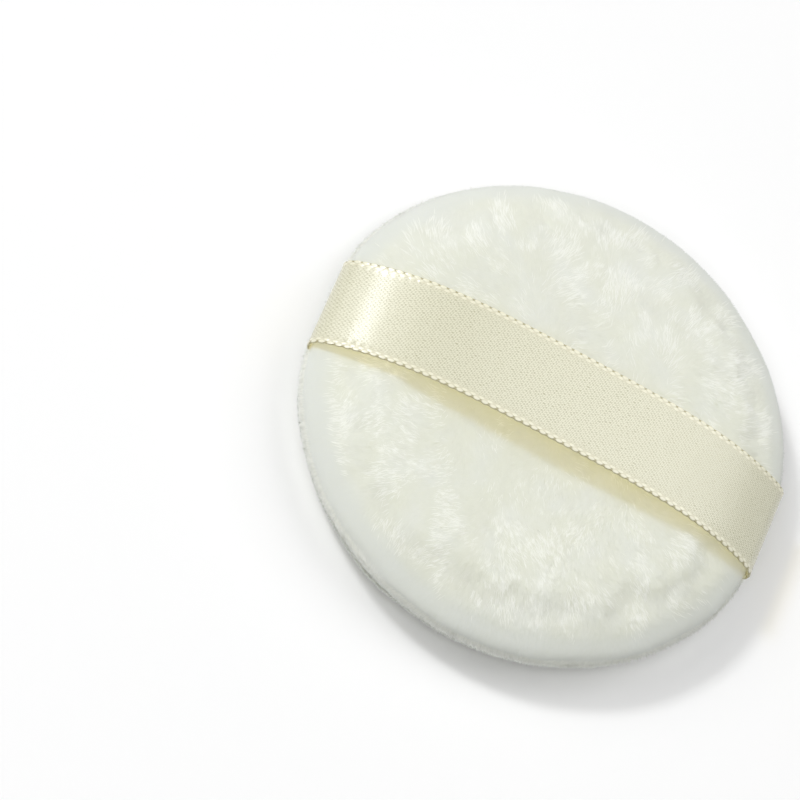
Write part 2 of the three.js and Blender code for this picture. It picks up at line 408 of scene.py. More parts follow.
def waves(u, v, length, seed):
    """Smooth field of about unit size: a sum of plane waves of about one length, turned at random."""
    rng = np.random.default_rng(seed)
    turn = rng.uniform(0.0, 2.0 * np.pi, WAVE_COUNT)
    size = 2.0 * np.pi / (length * rng.uniform(*WAVE_SPREAD, WAVE_COUNT))
    phase = rng.uniform(0.0, 2.0 * np.pi, WAVE_COUNT)
    total = 0.0
    for k in range(WAVE_COUNT):
        total = total + np.sin(size[k] * (u * np.cos(turn[k]) + v * np.sin(turn[k])) + phase[k])
    return total * np.sqrt(2.0 / WAVE_COUNT)


def chance(i, j, salt):
    """A fixed number from 0 to 1 for each whole-number cell, mixed by multiply and shift."""
    mixed = (i.astype(np.int64) * 73856093) ^ (j.astype(np.int64) * 19349663) ^ (salt * 83492791)
    mixed = (mixed ^ (mixed >> 13)) * 1274126177 & 0xFFFFFFFF
    mixed = (mixed ^ (mixed >> 16)) * 668265263 & 0xFFFFFFFF
    return ((mixed ^ (mixed >> 15)) & 0xFFFFFF) / float(0x1000000)


def tuft_of(u, v, spacing, salt):
    """Nearest tuft centre among jittered cells: its offset from each point and its cell numbers."""
    column, row = np.floor(u / spacing), np.floor(v / spacing)
    best = np.full(u.shape, np.inf)
    found = [np.zeros(u.shape) for _ in range(4)]
    for di in (-1, 0, 1):
        for dj in (-1, 0, 1):
            i, j = column + di, row + dj
            du = (i + CELL_MARGIN + CELL_JITTER * chance(i, j, salt)) * spacing - u
            dv = (j + CELL_MARGIN + CELL_JITTER * chance(i, j, salt + 1)) * spacing - v
            gap = du * du + dv * dv
            nearer = gap < best
            best = np.where(nearer, gap, best)
            found = [np.where(nearer, new, old) for new, old in zip((du, dv, i, j), found)]
    return found


def add_object(name, data):
    """A new object in the scene, at the origin."""
    made = bpy.data.objects.new(name, data)
    scene.collection.objects.link(made)
    return made


def make_mesh(name, points, quads=(), triangles=()):
    """Writes millimetre points and smooth faces to a new mesh object in metres, at the origin."""
    corners = np.concatenate([np.ravel(quads), np.ravel(triangles)]).astype(np.int32)
    starts = np.r_[np.arange(len(quads)) * 4, len(quads) * 4 + np.arange(len(triangles)) * 3]
    mesh = bpy.data.meshes.new(name)
    mesh.vertices.add(len(points))
    mesh.vertices.foreach_set("co", (points * MM).astype(np.float32).ravel())
    mesh.loops.add(len(corners))
    mesh.loops.foreach_set("vertex_index", corners)
    mesh.polygons.add(len(starts))
    mesh.polygons.foreach_set("loop_start", starts.astype(np.int32))
    mesh.polygons.foreach_set("use_smooth", np.full(len(starts), True))
    mesh.update(calc_edges=True)
    mesh.validate()
    return add_object(name, mesh)


def put_value(piece, name, values):
    """Stores one number per point as an attribute that materials read."""
    attribute = piece.data.attributes.new(name, "FLOAT", "POINT")
    attribute.data.foreach_set("value", np.asarray(values, np.float32).ravel())


def put_map(piece, name, points_uv):
    """Stores a map with one place per point, copied to every corner of that point."""
    corners = np.zeros(len(piece.data.loops), np.int32)
    piece.data.loops.foreach_get("vertex_index", corners)
    layer = piece.data.uv_layers.new(name=name)
    layer.data.foreach_set("uv", np.asarray(points_uv, np.float32)[corners].ravel())


def ring_quads(index):
    """Quads between the rows of a closed grid of point numbers. OTHER_WAY turns them over."""
    onward = np.roll(index, -1, axis=1)
    return np.stack([index[:-1], index[1:], onward[1:], onward[:-1]], -1).reshape(-1, 4)


def pole_fan(pole, row):
    """Triangles from one point to each step of a closed row of point numbers."""
    return np.stack([np.full(len(row), pole), row, np.roll(row, -1)], -1)


def closed_turn(grid):
    """Points, quads and end fans of a turned grid whose end rows are single points on the axis."""
    rows, columns = grid.shape[:2]
    middle = grid[1:-1].reshape(-1, 3)
    points = np.concatenate([middle, grid[:1, 0], grid[-1:, 0]])
    index = np.arange((rows - 2) * columns).reshape(rows - 2, columns)
    top = pole_fan(len(middle), index[0])
    bottom = pole_fan(len(middle) + 1, index[-1])[:, [1, 0, 2]]
    return points, ring_quads(index), np.concatenate([top, bottom])


def cover_grid(side, rows, columns):
    """Woven ground of a cover as a grid: the outer skin moved in along its normal by the root depth.

    The roots are deep on the face, shallow round the rim and at the surface in the seam. Also returns
    the arc length of each row from the centre, and the arc length at the seam.
    """
    line, arc = respaced(cover_outside(side), rows)
    slope = unit(np.gradient(line, axis=0))
    outward = np.stack([-slope[:, 1], slope[:, 0]], -1) * side
    rim_arc = arc[np.argmin(np.abs(line[:, 1] - SEAM_HEIGHT))]
    middle = ROOT_DEPTH[side]
    depth = middle + (RIM_ROOT_DEPTH - middle) * smooth(arc, rim_arc - RIM_DEPTH_BAND, rim_arc)
    depth = depth * (1.0 - smooth(arc, rim_arc - SEAM_DEPTH_BAND, rim_arc))
    line = line - outward * depth[:, None]
    line[0, 0] = 0.0
    return turned_grid(line, round_angles(columns)), arc, rim_arc


def fill_cover(side):
    """How far each point of a cover moves when the sponge fills it, as a grid, by Blender's cloth.

    The cloth starts a little inside the ground, slightly uneven. It is pressed outwards without
    weight and held along the seam and on the rest face. A move is cut to CLOTH_REACH, and at the back
    it grows from nothing at the rim of the rest face.
    """
    grid, arc, rim_arc = cover_grid(side, CLOTH_ROWS, CLOTH_COLUMNS)
    held = arc > rim_arc - CLOTH_HELD
    if side == BACK:
        held = held | (arc < REST_RADIUS - CLOTH_HELD)
    lump = CLOTH_LUMP * waves(grid[..., 0], grid[..., 1], CLOTH_LUMP_WAVE, SEED + 3)
    inward = (lump - CLOTH_START) * np.where(held, 0.0, 1.0)[:, None]
    inward[0] = inward[0, 0]
    start = grid + grid_normals(grid) * side * inward[..., None]
    points = np.concatenate([start[1:].reshape(-1, 3), start[:1, 0]])
    index = np.arange(len(points) - 1).reshape(CLOTH_ROWS - 1, CLOTH_COLUMNS)
    fan = pole_fan(len(points) - 1, index[0])
    cloth = make_mesh("filling", points * CLOTH_SCALE, ring_quads(index)[:, ::side], fan[:, ::side])
    fixed = np.repeat(held[1:], CLOTH_COLUMNS).nonzero()[0].tolist()
    cloth.vertex_groups.new(name="held").add(fixed, 1.0, "REPLACE")
    settings = cloth.modifiers.new("filling", "CLOTH").settings
    settings.vertex_group_mass = "held"
    settings.use_pressure = True
    settings.uniform_pressure_force = CLOTH_PRESSURE
    settings.effector_weights.gravity = 0.0
    for step in range(1, CLOTH_FRAMES + 1):
        scene.frame_set(step)
    solved = cloth.evaluated_get(bpy.context.evaluated_depsgraph_get()).data
    places = np.zeros(len(points) * 3, np.float32)
    solved.vertices.foreach_get("co", places)
    bpy.data.objects.remove(cloth)
    scene.frame_set(1)
    places = places.reshape(-1, 3) / (MM * CLOTH_SCALE)
    move = np.concatenate([np.broadcast_to(places[-1], grid[:1].shape),
                           places[:-1].reshape(grid[1:].shape)]) - grid
    size = np.linalg.norm(move, axis=-1, keepdims=True)
    move = move * np.minimum(1.0, CLOTH_REACH / np.maximum(size, 1e-9))
    if side == BACK:
        growth = smooth(arc, REST_RADIUS - CLOTH_HELD, REST_RADIUS + CLOTH_BACK_GROWTH)
        move = move * growth[:, None, None]
    return move


def cover_ground(side):
    """The filled ground of a cover: its fine grid plus the moves of the filling read between points."""
    grid, arc, rim_arc = cover_grid(side, COVER_ROWS, COVER_COLUMNS)
    move = fill_cover(side)
    row, angle = np.meshgrid(np.arange(COVER_ROWS) * (CLOTH_ROWS - 1) / (COVER_ROWS - 1),
                             round_angles(COVER_COLUMNS), indexing="ij")
    return grid + read_grid(move, row.ravel(), angle.ravel()).reshape(grid.shape), arc, rim_arc


def make_cover(name, side, ground):
    """A cover: its ground grid closed by the inner wall, one shell with a pole at each end."""
    inner, _ = respaced(cover_inside(side), COVER_ROWS // 2)
    grid = np.concatenate([ground, turned_grid(inner, round_angles(COVER_COLUMNS))])
    points, quads, fans = closed_turn(grid)
    return make_mesh(name, points, quads[:, ::side], fans[:, ::side])


def spread_roots(ground, arc, reach, seed):
    """Evenly spread roots on a turned grid: equal steps of area, a golden turn each, some jitter."""
    rng = np.random.default_rng(seed)
    radius = np.linalg.norm(ground[:, :, :2], axis=-1).mean(1)
    use = arc <= reach
    area = np.r_[0.0, np.cumsum((radius[1:] + radius[:-1]) / 2 * np.diff(arc))][use]
    share = (np.arange(FIBRES) + rng.uniform(0.0, 1.0, FIBRES)) / FIBRES * area[-1]
    row = np.interp(share, area, np.arange(use.sum()))
    golden = np.pi * (3.0 - np.sqrt(5.0))
    angle = np.arange(FIBRES) * golden + rng.normal(0.0, ROOT_JITTER, FIBRES) / np.maximum(
        np.interp(row, np.arange(len(radius)), radius), JITTER_RADIUS)
    return row, np.mod(angle, 2.0 * np.pi)


def comb_pile(side, ground, arc, rim_arc, width, seed):
    """Fibres of one cover as bent blades.

    A fibre leans from its root along a comb direction and bends over further towards its tip. The
    comb points outwards near the rim and drifts in slow waves in the middle. Fibres draw in to the
    heart of their tuft and lock, and proud tufts and clusters of stray fibres stand up more. Proud
    tufts and strays are painted lighter, painted glint, as are dots along the seam; a band just
    inside the seam is painted lighter, painted light. The nap lies flat round the rim, on the rest
    face and under the ribbon's shoulders. At the seam it crosses the gap in small tufts. No fibre
    goes below the table.
    """
    rng = np.random.default_rng(seed)
    row, angle = spread_roots(ground, arc, rim_arc - ROOT_END, seed)
    away = np.interp(row, np.arange(len(arc)), arc)
    u, v = away * np.cos(angle), away * np.sin(angle)

    def scatter(mean, spread):
        """One number a fibre, spread about the mean as a bell."""
        return mean + rng.normal(0.0, spread, FIBRES)

    def near_seam(band):
        """0 where a band before the seam begins, 1 from where it is full."""
        return smooth(away, rim_arc - band[0], rim_arc - band[1])

    def far_out(reach):
        """CENTRE_SHARE in the middle of the cover, 1 from where the reach is full."""
        return CENTRE_SHARE + (1 - CENTRE_SHARE) * smooth(away, *reach)

    # Directions at the root
    root = read_grid(ground, row, angle)
    at_seam = near_seam(SEAM_BAND)
    turned = at_seam[:, None]
    normal = unit(read_grid(grid_normals(ground) * side, row, angle))
    normal = unit(normal * (1 - turned) + unit(root * [1.0, 1.0, 0.0]) * turned)
    outward = unit(read_grid(np.gradient(ground, axis=0), row, angle))
    outward = unit(outward * (1 - turned) + turned * [0.0, 0.0, -float(side)])
    around = np.cross(normal, outward) * side

    # Flat places, tufts and locks
    rim = near_seam(RIM_BAND)
    pressed = smooth(np.abs(root[:, 0]), *PRESSED_ALONG)
    pressed = pressed * (1 - smooth(np.abs(root[:, 1]), *PRESSED_ACROSS))
    flat = np.maximum(rim, pressed if side == FRONT else BACK_FLATNESS)
    loose_u, loose_v = rng.normal(0.0, TUFT_BLEND, (2, FIBRES))
    du, dv, i, j = tuft_of(u + loose_u, v + loose_v, TUFT_SPACING, SEED + side)
    du, dv = du + loose_u, dv + loose_v
    rank, lean, turn, tall = (chance(i, j, SEED + side + k) for k in (5, 6, 7, 8))
    proud = smooth(rank, *PROUD_RANK) * far_out(PROUD_REACH) * (1 - flat)
    near_u, near_v, i, j = tuft_of(u, v, LOCK_SPACING, SEED + side)
    lock_tone, lock_lean, lock_turn = (chance(i, j, SEED + side + k) - 0.5 for k in (9, 10, 11))

    # Comb direction
    drift = DRIFT_TURN * waves(u + du, v + dv, DRIFT_WAVE, SEED + 1)
    own_turn = (turn - 0.5) * TUFT_TURN + lock_turn * LOCK_TURN
    heading = drift * (1 - DRIFT_LOSS * smooth(away, *COMB_REACH)) + own_turn * (1 - flat)
    heading = heading + scatter(0.0, FIBRE_TURN)
    comb = outward * np.cos(heading)[:, None] + around * np.sin(heading)[:, None]

    # Lean, length and width
    tilt = FACE_TILT[0] + waves(u, v, SWELL_WAVE, SEED + 2) + TUFT_TILT * (lean - 0.5)
    tilt = tilt + LOCK_TILT * lock_lean - PROUD_TILT * proud + scatter(0.0, FACE_TILT[1])
    tilt = tilt * (1 - flat) + flat * scatter(*FLAT_TILT)
    cluster = smooth(waves(u, v, CLUSTER_WAVE, SEED + 4), *CLUSTER_LEVEL) * far_out(CLUSTER_REACH)
    stray = rng.uniform(0.0, 1.0, FIBRES) < STRAY_SHARE * cluster * (1 - flat)
    tilt = np.where(stray, scatter(*STRAY_TILT), tilt)
    tilt = tilt * (1 - at_seam) + at_seam * scatter(*SEAM_TILT)
    tilt = np.radians(np.clip(tilt, *TILT_LIMITS))
    growth = SHORTEST + TUFT_GROWTH * tall + PROUD_GROWTH * proud
    length = FACE_FIBRE * growth * (1 - flat) + RIM_FIBRE * flat
    length = (length * (1 - at_seam) + SEAM_FIBRE * at_seam) * rng.uniform(*LENGTH_SPREAD, FIBRES)
    length = np.where(stray, STRAY_GROWTH * length, length)
    width = width * rng.uniform(*WIDTH_SPREAD, FIBRES) * np.where(stray, STRAY_WIDTH, 1.0)

    # Bend and tip
    gather = (TUFT_GATHER + PROUD_GATHER * proud) * (1 - flat)
    cling = LOCK_CLING * (1 - flat)
    du, dv = gather * du + cling * near_u, gather * dv + cling * near_v
    to_heart = outward * (du * np.cos(angle) + dv * np.sin(angle))[:, None]
    to_heart = to_heart + around * (dv * np.cos(angle) - du * np.sin(angle))[:, None]
    sideways = comb * (length * np.sin(tilt))[:, None] + to_heart
    rise = normal * (length * np.cos(tilt))[:, None]
    middle = root + BEND_RISE * rise + BEND_REACH * sideways
    tip = root + rise + sideways
    middle[:, 2], tip[:, 2] = np.maximum(middle[:, 2], 0.0), np.maximum(tip[:, 2], 0.0)

    # Tone and glint
    # Bright dots along the seam: painted glint on the tips of its tufts
    seam_glints = at_seam * (0.5 + 0.5 * np.cos(SEAM_TUFTS * angle)) ** 2
    strand = lock_tone * (STRAND_TONE + STRAND_TONE * proud) * (1 - STRAND_LOSS * flat)
    # Proud tufts are painted lighter, painted glint; the band just inside the seam is painted lighter,
    # painted light
    tone = BASE_TONE + PROUD_GLINT * proud + EDGE_LIGHT * near_seam(EDGE_LIGHT_BAND) + SEAM_GLINT * seam_glints
    tone = np.clip(tone + strand + scatter(0.0, TONE_SPREAD), 0.0, 1.0)
    # Strays painted at full tone: painted glint
    tone = np.where(stray, 1.0, tone)
    glint = around * lock_turn[:, None] + outward * lock_lean[:, None]
    facing = unit(normal + GLINT * (1 - GLINT_LOSS * flat)[:, None] * glint)
    return blades(root, middle, tip, facing, width, tone, rim, rng)


def blades(root, middle, tip, normal, width, tone, rim, rng):
    """Four points a blade: its root, the two sides of its bend and its tip, set across its lean.

    Its shading normal is mostly that of the ground, so that the pile shades as one soft surface.
    """
    lean = unit(tip - root)
    across = unit(np.cross(normal, lean) + BLADE_ROLL * rng.normal(0.0, 1.0, root.shape))
    own = unit(np.cross(lean, across))
    facing = np.where((own * normal).sum(-1, keepdims=True) < 0.0, -1.0, 1.0)
    half = facing * across * (width / 2)[:, None]
    points = np.stack([root, middle - half, middle + half, tip], 1)
    shade = unit(GROUND_NORMAL * normal + OWN_NORMAL * facing * own)
    values = {"height": np.array([BLADE_HEIGHTS]), "tone": tone[:, None], "rim": rim[:, None]}
    values = {key: np.broadcast_to(value, points.shape[:2]) for key, value in values.items()}
    return points, np.broadcast_to(shade[:, None], points.shape), values


def make_pile(name, strands):
    """One pile piece from blades: two triangles each, with a bake map of one cell a blade."""
    points, shade, values = strands
    number = np.arange(len(points))
    first = number[:, None] * 4
    corners = np.concatenate([first + [0, 1, 2], first + [1, 3, 2]])
    piece = make_mesh(name, points.reshape(-1, 3), triangles=corners)
    normals = piece.data.attributes.new("custom_normal", "FLOAT_VECTOR", "POINT")
    normals.data.foreach_set("vector", shade.astype(np.float32).ravel())
    for key, value in values.items():
        put_value(piece, key, value)
    cells = int(np.ceil(np.sqrt(len(points))))
    corner = np.stack([number % cells, number // cells], -1)[:, None]
    inside = np.array([[0.5, 0.1], [0.1, 0.5], [0.9, 0.5], [0.5, 0.9]])
    put_map(piece, "OFBake", ((corner + inside) / cells).reshape(-1, 2))
    return piece


def ribbon_line(count):
    """Middle line of the ribbon in the XZ plane, from tail to tail, at equal steps.

    Each half is a quartic arch that leaves the pad's shoulder at its slope, then the shoulder, the fold
    and the tail in the seam.
    """
    def shoulder(angle):
        radius, height = front_skin(angle, -RIBBON_STAND_OFF)
        return drawn_radius(radius, 0.0), height

    step = np.radians(0.5)
    edge_x, edge_z = shoulder(LIFT_OFF)
    before, after = shoulder(LIFT_OFF - step), shoulder(LIFT_OFF + step)
    slope = (after[1] - before[1]) / (before[0] - after[0])
    middle = THICKNESS + RIBBON_GAP + RIBBON_THICKNESS / 2
    drop = middle - edge_z
    fourth = (slope * edge_x - 2 * drop) / 2
    square = drop - fourth
    x = np.linspace(0.0, edge_x, ARCH_POINTS)
    arch = x, middle - square * (x / edge_x) ** 2 - fourth * (x / edge_x) ** 4
    down = shoulder(np.linspace(LIFT_OFF, 0.0, SHOULDER_POINTS))
    radius, height = fold(np.linspace(0.0, np.pi / 2, FOLD_POINTS), FRONT, -RIBBON_STAND_OFF)
    turn = drawn_radius(radius, 0.0), height
    tail_x = drawn_radius(ALLOWANCE_END, 0.0) + CLEARANCE
    tail = np.linspace(turn[0][-1], tail_x, ALLOWANCE_POINTS), height[-1]
    half = joined(arch, down, turn, tail)
    mirror = half[:0:-1] * [-1.0, 1.0]
    return respaced(np.concatenate([mirror, half]), count)


def make_ribbon(name):
    """The finger ribbon: a flat section carried along its middle line, with beaded selvedges.

    Across, the thickness steps from satin to selvedge. On the selvedge two rows of half ellipsoids
    stand up and out, half a pitch apart, as the loops of a woven edge. Also returns its length.
    """
    line, arc = ribbon_line(RIBBON_ROWS)
    slope = unit(np.gradient(line, axis=0))
    up = np.stack([-slope[:, 1], slope[:, 0]], -1)
    edge = RIBBON_WIDTH / 2
    inner = edge - SELVEDGE_WIDTH
    across = np.r_[np.linspace(-edge, -inner, SELVEDGE_COLUMNS),
                   np.linspace(-inner, inner, SATIN_COLUMNS)[1:-1],
                   np.linspace(inner, edge, SELVEDGE_COLUMNS)]
    v, w = arc[:, None], across[None]
    from_middle = np.abs(w)

    bead = np.zeros((len(arc), len(across)))
    for inset, phase, reach in BEAD_ROWS:
        offset = (np.mod(v / BEAD_PITCH + phase, 1.0) - 0.5) * BEAD_PITCH
        away = (offset / (reach * BEAD_PITCH)) ** 2
        away = away + ((from_middle - (edge - inset)) / BEAD_HALF_WIDTH) ** 2
        bead = np.maximum(bead, np.sqrt(np.clip(1.0 - away, 0.0, 1.0)))
    growth = (SELVEDGE_THICKNESS - RIBBON_THICKNESS) / 2 * smooth(from_middle, inner, edge)
    half = RIBBON_THICKNESS / 2 + growth * WEB_GROWTH + BEAD_HEIGHT * bead
    half[:, 0] = half[:, -1] = EDGE_HALF
    scallop = SCALLOP_DEPTH * np.cos(2 * np.pi * v / BEAD_PITCH + np.pi)
    y = w + np.sign(w) * scallop * smooth(from_middle, edge - SCALLOP_REACH, edge)

    sheets = []
    for sense in (1.0, -1.0):
        x = line[:, :1] + sense * up[:, :1] * half
        z = line[:, 1:] + sense * up[:, 1:] * half
        sheets.append(np.stack([x, y, z], -1))
    ring = np.concatenate([sheets[0], sheets[1][:, ::-1]], axis=1)
    rows, columns = ring.shape[:2]
    index = np.arange(rows * columns).reshape(rows, columns)
    top = index[[0, -1]]
    under = top[:, ::-1]
    last = columns // 2
    ends = np.stack([top[:, :last - 1], top[:, 1:last], under[:, 1:last], under[:, :last - 1]], -1)
    ends[0] = ends[0][:, ::-1]
    quads = np.concatenate([ring_quads(index)[:, OTHER_WAY], ends.reshape(-1, 4)])
    piece = make_mesh(name, ring.reshape(-1, 3), quads)

    # Painted shade in the gaps between loops: lighter inwards, full at the outer edge
    gap_lift = GAP_SHADE_LIFT * (1.0 - smooth(from_middle, edge - GAP_SHADE_BAND[0], edge - GAP_SHADE_BAND[1]))
    selvedge = smooth(from_middle, inner + SELVEDGE_BLEND[0], inner + SELVEDGE_BLEND[1])
    values = {"bead": np.clip(BEAD_CONTRAST * bead, gap_lift, 1.0),
              "selvedge": np.broadcast_to(selvedge, bead.shape)}
    for key, value in values.items():
        put_value(piece, key, np.concatenate([value, value[:, ::-1]], axis=1))
    place = np.stack(np.broadcast_arrays(v, np.concatenate([across, across[::-1]])[None]), -1)
    put_map(piece, "cloth", place.reshape(-1, 2) * MM)
    return piece, arc[-1]


def thread_ply(path, start):
    """One ply of a thread: a round section that winds round the path once every lay."""
    arc = np.r_[0.0, np.cumsum(np.linalg.norm(np.diff(path, axis=0), axis=1))]
    ahead = unit(np.gradient(path, axis=0))
    side = unit(np.cross(ahead, [0.0, 0.0, 1.0]))
    top = np.cross(side, ahead)
    wind = (2 * np.pi * arc / THREAD_LAY + start)[:, None]
    core = path + (THREAD_RADIUS / 2) * (side * np.cos(wind) + top * np.sin(wind))
    turn = round_angles(THREAD_SIDES)[None, :, None]
    ring = side[:, None] * np.cos(turn) + top[:, None] * np.sin(turn)
    return core[:, None] + ring * (THREAD_RADIUS / 2)


def make_thread(name, path):
    """A two-ply sewing thread: two plies wound round one path, each a closed tube."""
    tubes = np.stack([thread_ply(path, start) for start in (0.0, np.pi)])
    quads, caps = [], []
    fan = np.arange(1, THREAD_SIDES - 1)
    for index in np.arange(tubes[..., 0].size).reshape(tubes.shape[:3]):
        quads.append(ring_quads(index)[:, OTHER_WAY])
        for ring, one, two in ((index[0], fan + 1, fan), (index[-1], fan, fan + 1)):
            caps.append(np.stack([ring[0] + 0 * fan, ring[one], ring[two]], -1))
    return make_mesh(name, tubes.reshape(-1, 3), np.concatenate(quads), np.concatenate(caps))


def seam_path(side):
    """The seam stitch: a ring on the seam allowance, open at the turning gap, drawn in with the rim."""
    angle = np.linspace(np.pi / 2 + TURNING_GAP / 2, np.pi * 2.5 - TURNING_GAP / 2, SEAM_POINTS)
    height = SEAM_HEIGHT + side * (CLEARANCE * 1.5 + COVER_WALL + THREAD_RADIUS)
    return turned_grid(np.array([[FOLD_AXIS_RADIUS - STITCH_INSET, height]]), angle)[0]


def closing_path():
    """The hand stitch: an arc in the groove between the folds that rises and falls as a sine."""
    reach = FOLD_OUTER + CLEARANCE + THREAD_RADIUS
    radius = FOLD_AXIS_RADIUS + np.sqrt(reach ** 2 - (FOLD_AXIS_RISE - LADDER_RISE) ** 2)
    half = TURNING_GAP / 2 + CLOSING_OVERLAP
    rungs = round(2 * half * radius / LADDER_PITCH)
    angle = np.linspace(-half, half, CLOSING_POINTS)
    height = SEAM_HEIGHT + LADDER_RISE * np.sin(2 * np.pi * rungs * angle / (2 * half))
    return np.stack([radius * np.sin(angle), radius * np.cos(angle), height], -1)


def make_sponge(name):
    """The foam disc, turned about Z: the covers' inside less a clearance, hollowed at the seam."""
    depth = COVER_WALL + CLEARANCE
    quarter = np.linspace(0.0, np.pi / 2, SPONGE_QUARTER)
    groove = CLEARANCE / 2 + COVER_WALL + 2 * THREAD_RADIUS + 2 * CLEARANCE
    low, high = SEAM_HEIGHT - groove, SEAM_HEIGHT + groove
    waist = ALLOWANCE_END - CLEARANCE
    back = joined(back_skin(quarter[::-1], depth))
    back = back[back[:, 1] < low]
    front = joined(front_skin(quarter, depth))
    front = front[front[:, 1] > high]
    line = np.concatenate([
        [[0.0, depth]], back, [[back[-1, 0], low], [waist, low]],
        [[waist, high], [front[0, 0], high]], front[:-1], [[0.0, front[-1, 1]]],
    ])
    line, _ = respaced(line, SPONGE_ROWS)
    line[0, 0] = line[-1, 0] = 0.0
    points, quads, fans = closed_turn(turned_grid(line, round_angles(SPONGE_COLUMNS)))
    return make_mesh(name, points, quads[:, ::-1], fans[:, ::-1])


def linear(colour):
    """Display colour from 0 to 255 turned to linear light by the sRGB curve."""
    value = np.array(colour) / 255.0
    return tuple(np.where(value <= 0.04045, value / 12.92, ((value + 0.055) / 1.055) ** 2.4))


class Shader:
    """Short ways to add nodes and links to a material or group tree."""

    def __init__(self, tree):
        self.tree = tree
        self.body = tree.nodes.get("Principled BSDF")

    def feed(self, value, socket):
        """Joins an output to a socket, or sets the socket to a number or a display colour."""
        if hasattr(value, "is_output"):
            self.tree.links.new(value, socket)
        elif isinstance(value, tuple):
            socket.default_value = (*linear(value), 1.0)
        else:
            socket.default_value = value

    def node(self, kind, sockets=None, **settings):
        """A new node with its settings, and with its sockets fed by name or number."""
        made = self.tree.nodes.new(kind)
        for key, value in settings.items():
            setattr(made, key, value)
        for key, value in (sockets or {}).items():
            self.feed(value, made.inputs[key])
        return made

    def place(self):
        """Coordinates of the point in its object."""
        return self.node("ShaderNodeTexCoord").outputs["Object"]

    def attribute(self, name):
        """A value stored on the mesh."""
        return self.node("ShaderNodeAttribute", attribute_name=name).outputs["Fac"]

    def maths(self, operation, *values):
        """One sum on outputs or numbers."""
        return self.node("ShaderNodeMath", dict(enumerate(values)), operation=operation).outputs[0]

    def part_of(self, value, share):
        """A share of an output."""
        return self.maths("MULTIPLY", value, share)

    def mix(self, factor, a, b):
        """Colour a where the factor is 0 and colour b where it is 1."""
        return self.node("ShaderNodeMix", {0: factor, 6: a, 7: b}, data_type="RGBA").outputs[2]

    def mix_shaders(self, factor, a, b):
        """Shader a where the factor is 0 and shader b where it is 1."""
        return self.node("ShaderNodeMixShader", {0: factor, 1: a.outputs[0], 2: b.outputs[0]})

    def noise(self, place, scale, detail=2.0, roughness=0.5):
        """Cloudy noise from 0 to 1, with its scale in cells a metre."""
        return self.node("ShaderNodeTexNoise", {
            "Vector": place, "Scale": scale, "Detail": detail, "Roughness": roughness}).outputs["Fac"]

    def ramp(self, value, low=0.0, high=1.0, **settings):
        """A value stretched so that low becomes 0 and high becomes 1."""
        return self.node("ShaderNodeMapRange", {
            "Value": value, "From Min": low, "From Max": high}, **settings).outputs["Result"]

    def paint(self, colour):
        """Gives the main shader its colour."""
        self.feed(colour, self.body.inputs["Base Color"])

    def bump(self, height, strength, distance):
        """Bends the main shader's normal by a height."""
        made = self.node("ShaderNodeBump", {
            "Height": height, "Strength": strength, "Distance": distance})
        self.feed(made.outputs["Normal"], self.body.inputs["Normal"])

    def rays(self, *kinds):
        """1 for rays of the named kinds."""
        path = self.node("ShaderNodeLightPath")
        kinds = [path.outputs[kind] for kind in kinds]
        return self.maths("MAXIMUM", *kinds) if len(kinds) > 1 else kinds[0]

    def lit_through(self, shader, colour):
        """Shows on the underside of a thin face the light that falls on its upper side."""
        under = self.node("ShaderNodeBsdfTranslucent", {"Color": colour})
        return self.mix_shaders(self.node("ShaderNodeNewGeometry").outputs["Backfacing"], shader, under)

    def let_through(self, shader, rays, share, colour):
        """Lets a share of some rays go through the surface, tinted, on their way to or from it."""
        clear = self.node("ShaderNodeBsdfTransparent", {"Color": colour})
        self.show(self.mix_shaders(self.part_of(rays, share), shader, clear))

    def show(self, shader):
        """Makes a shader the surface of its material."""
        self.feed(shader.outputs[0], self.tree.nodes["Material Output"].inputs["Surface"])


def new_material(name, **values):
    """A material with one Principled shader whose plain values are set on its own sockets."""
    material = bpy.data.materials.new(name)
    material.use_nodes = True
    shade = Shader(material.node_tree)
    for key, value in values.items():
        shade.feed(value, shade.body.inputs[key.replace("_", " ")])
    return material, shade


def new_group(name, *sockets):
    """A node group from sockets given as name, way and kind, with its helper and its end nodes."""
    group = bpy.data.node_groups.new(name, "ShaderNodeTree")
    for label, way, kind in sockets:
        group.interface.new_socket(label, in_out=way, socket_type=f"NodeSocket{kind}")
    shade = Shader(group)
    return group, shade, shade.node("NodeGroupInput"), shade.node("NodeGroupOutput")


def mottle_group():
    """Cloudy ivory tone that all the velour shares: slow noise on object coordinates."""
    group, shade, _, sink = new_group("velour_mottle", ("Colour", "OUTPUT", "Color"))
    slow = shade.noise(shade.place(), scale=160.0, detail=3.0)
    cloud = shade.ramp(slow, low=0.42, high=0.78)
    shade.feed(shade.mix(cloud, *MOTTLE_TONES), sink.inputs["Colour"])
    return group


